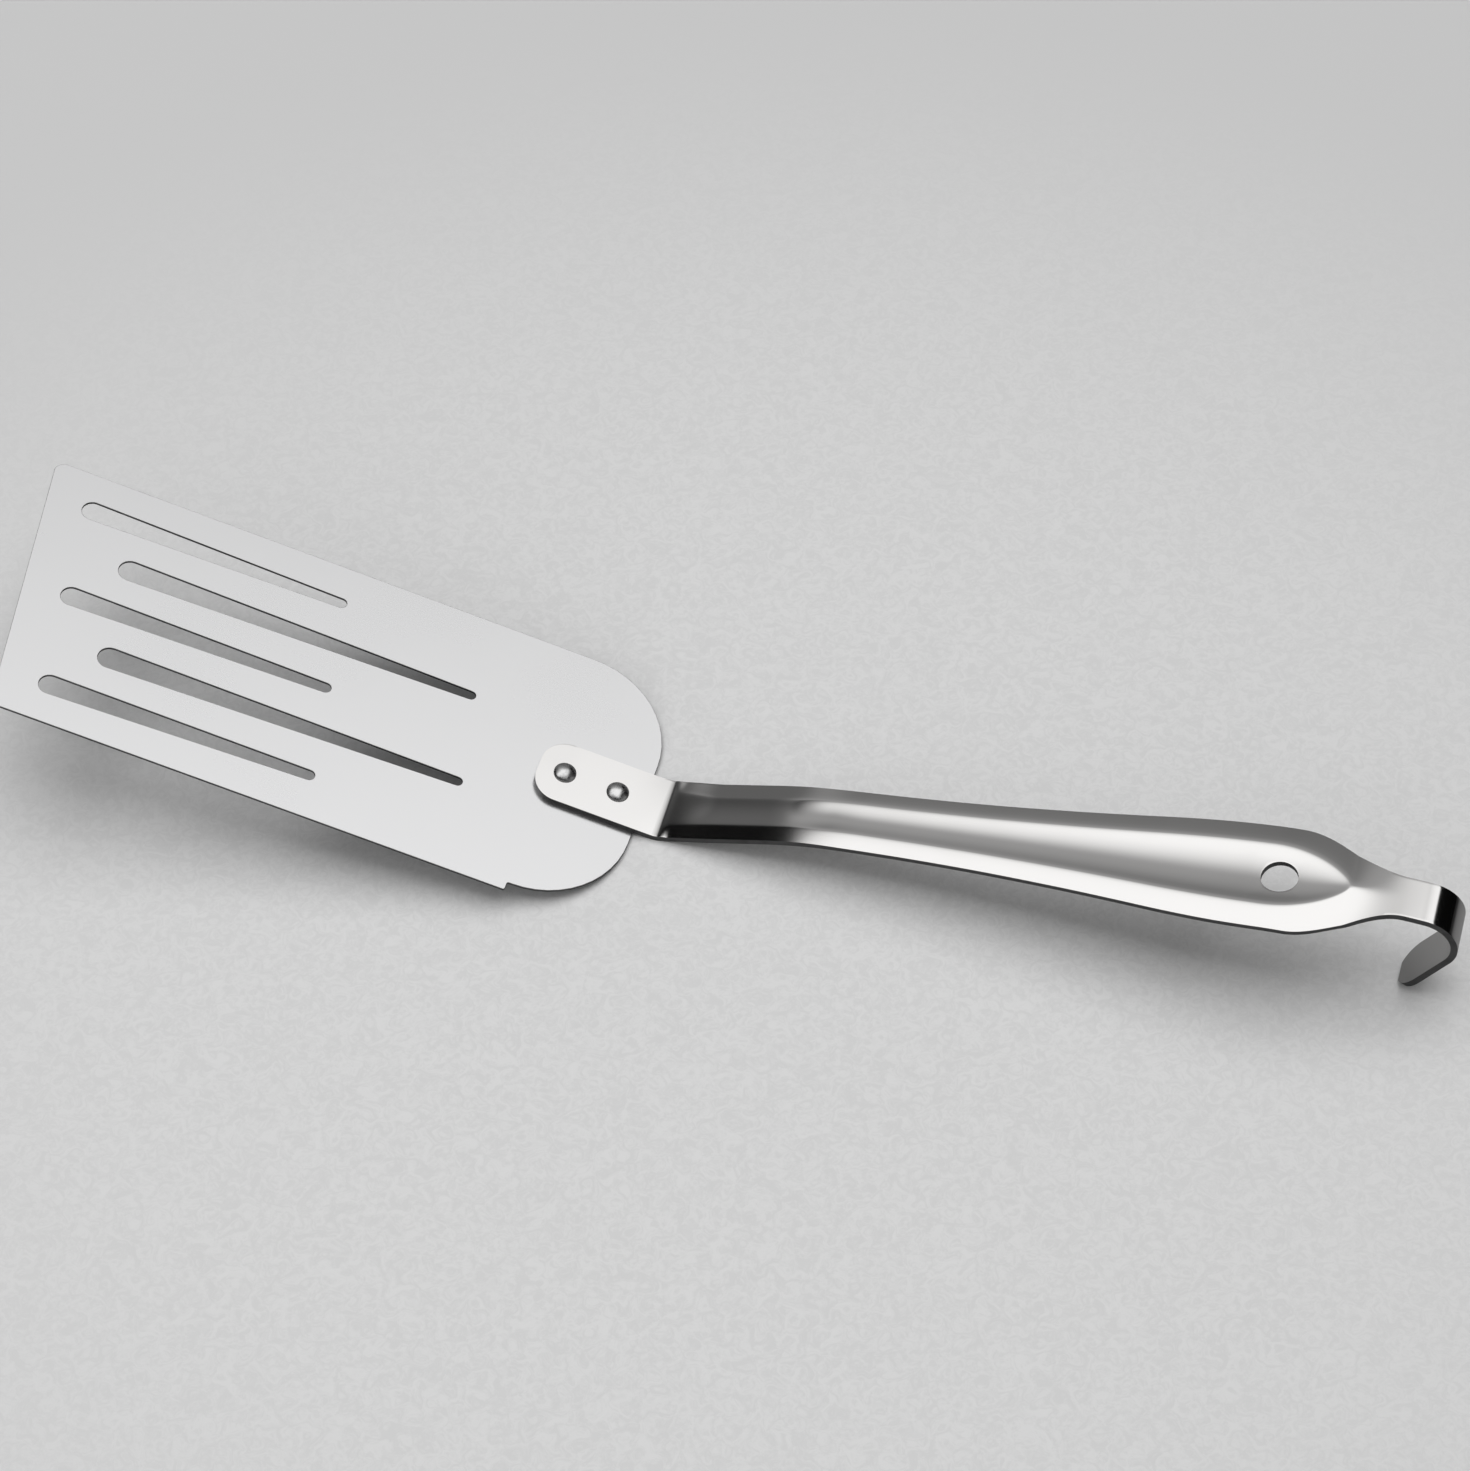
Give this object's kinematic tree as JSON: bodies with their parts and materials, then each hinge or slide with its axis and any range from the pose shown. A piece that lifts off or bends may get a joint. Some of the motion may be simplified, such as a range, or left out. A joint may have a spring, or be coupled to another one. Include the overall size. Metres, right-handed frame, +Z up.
{
  "type": "slotted turner",
  "caption": "Stainless steel slotted turner: a thin slanted blade riveted to a pressed, grooved handle with a hanging hole and a hook at its end.",
  "frame": {"origin": "centre of the footprint's length, on the table it lies on, in the handle's middle plane", "axes": "+X along the handle towards the hook, +Z up from the table, +Y to the blade's longer side"},
  "size_m": [0.3614, 0.0748, 0.0397],
  "materials": {
    "blade_steel": "satin",
    "handle_steel": "polished",
    "rivet_steel": "polished"
  },
  "bodies": {
    "root": {"blade": "blade_steel", "handle": "handle_steel", "rivet_front": "rivet_steel", "rivet_rear": "rivet_steel"}
  },
  "joints": []
}
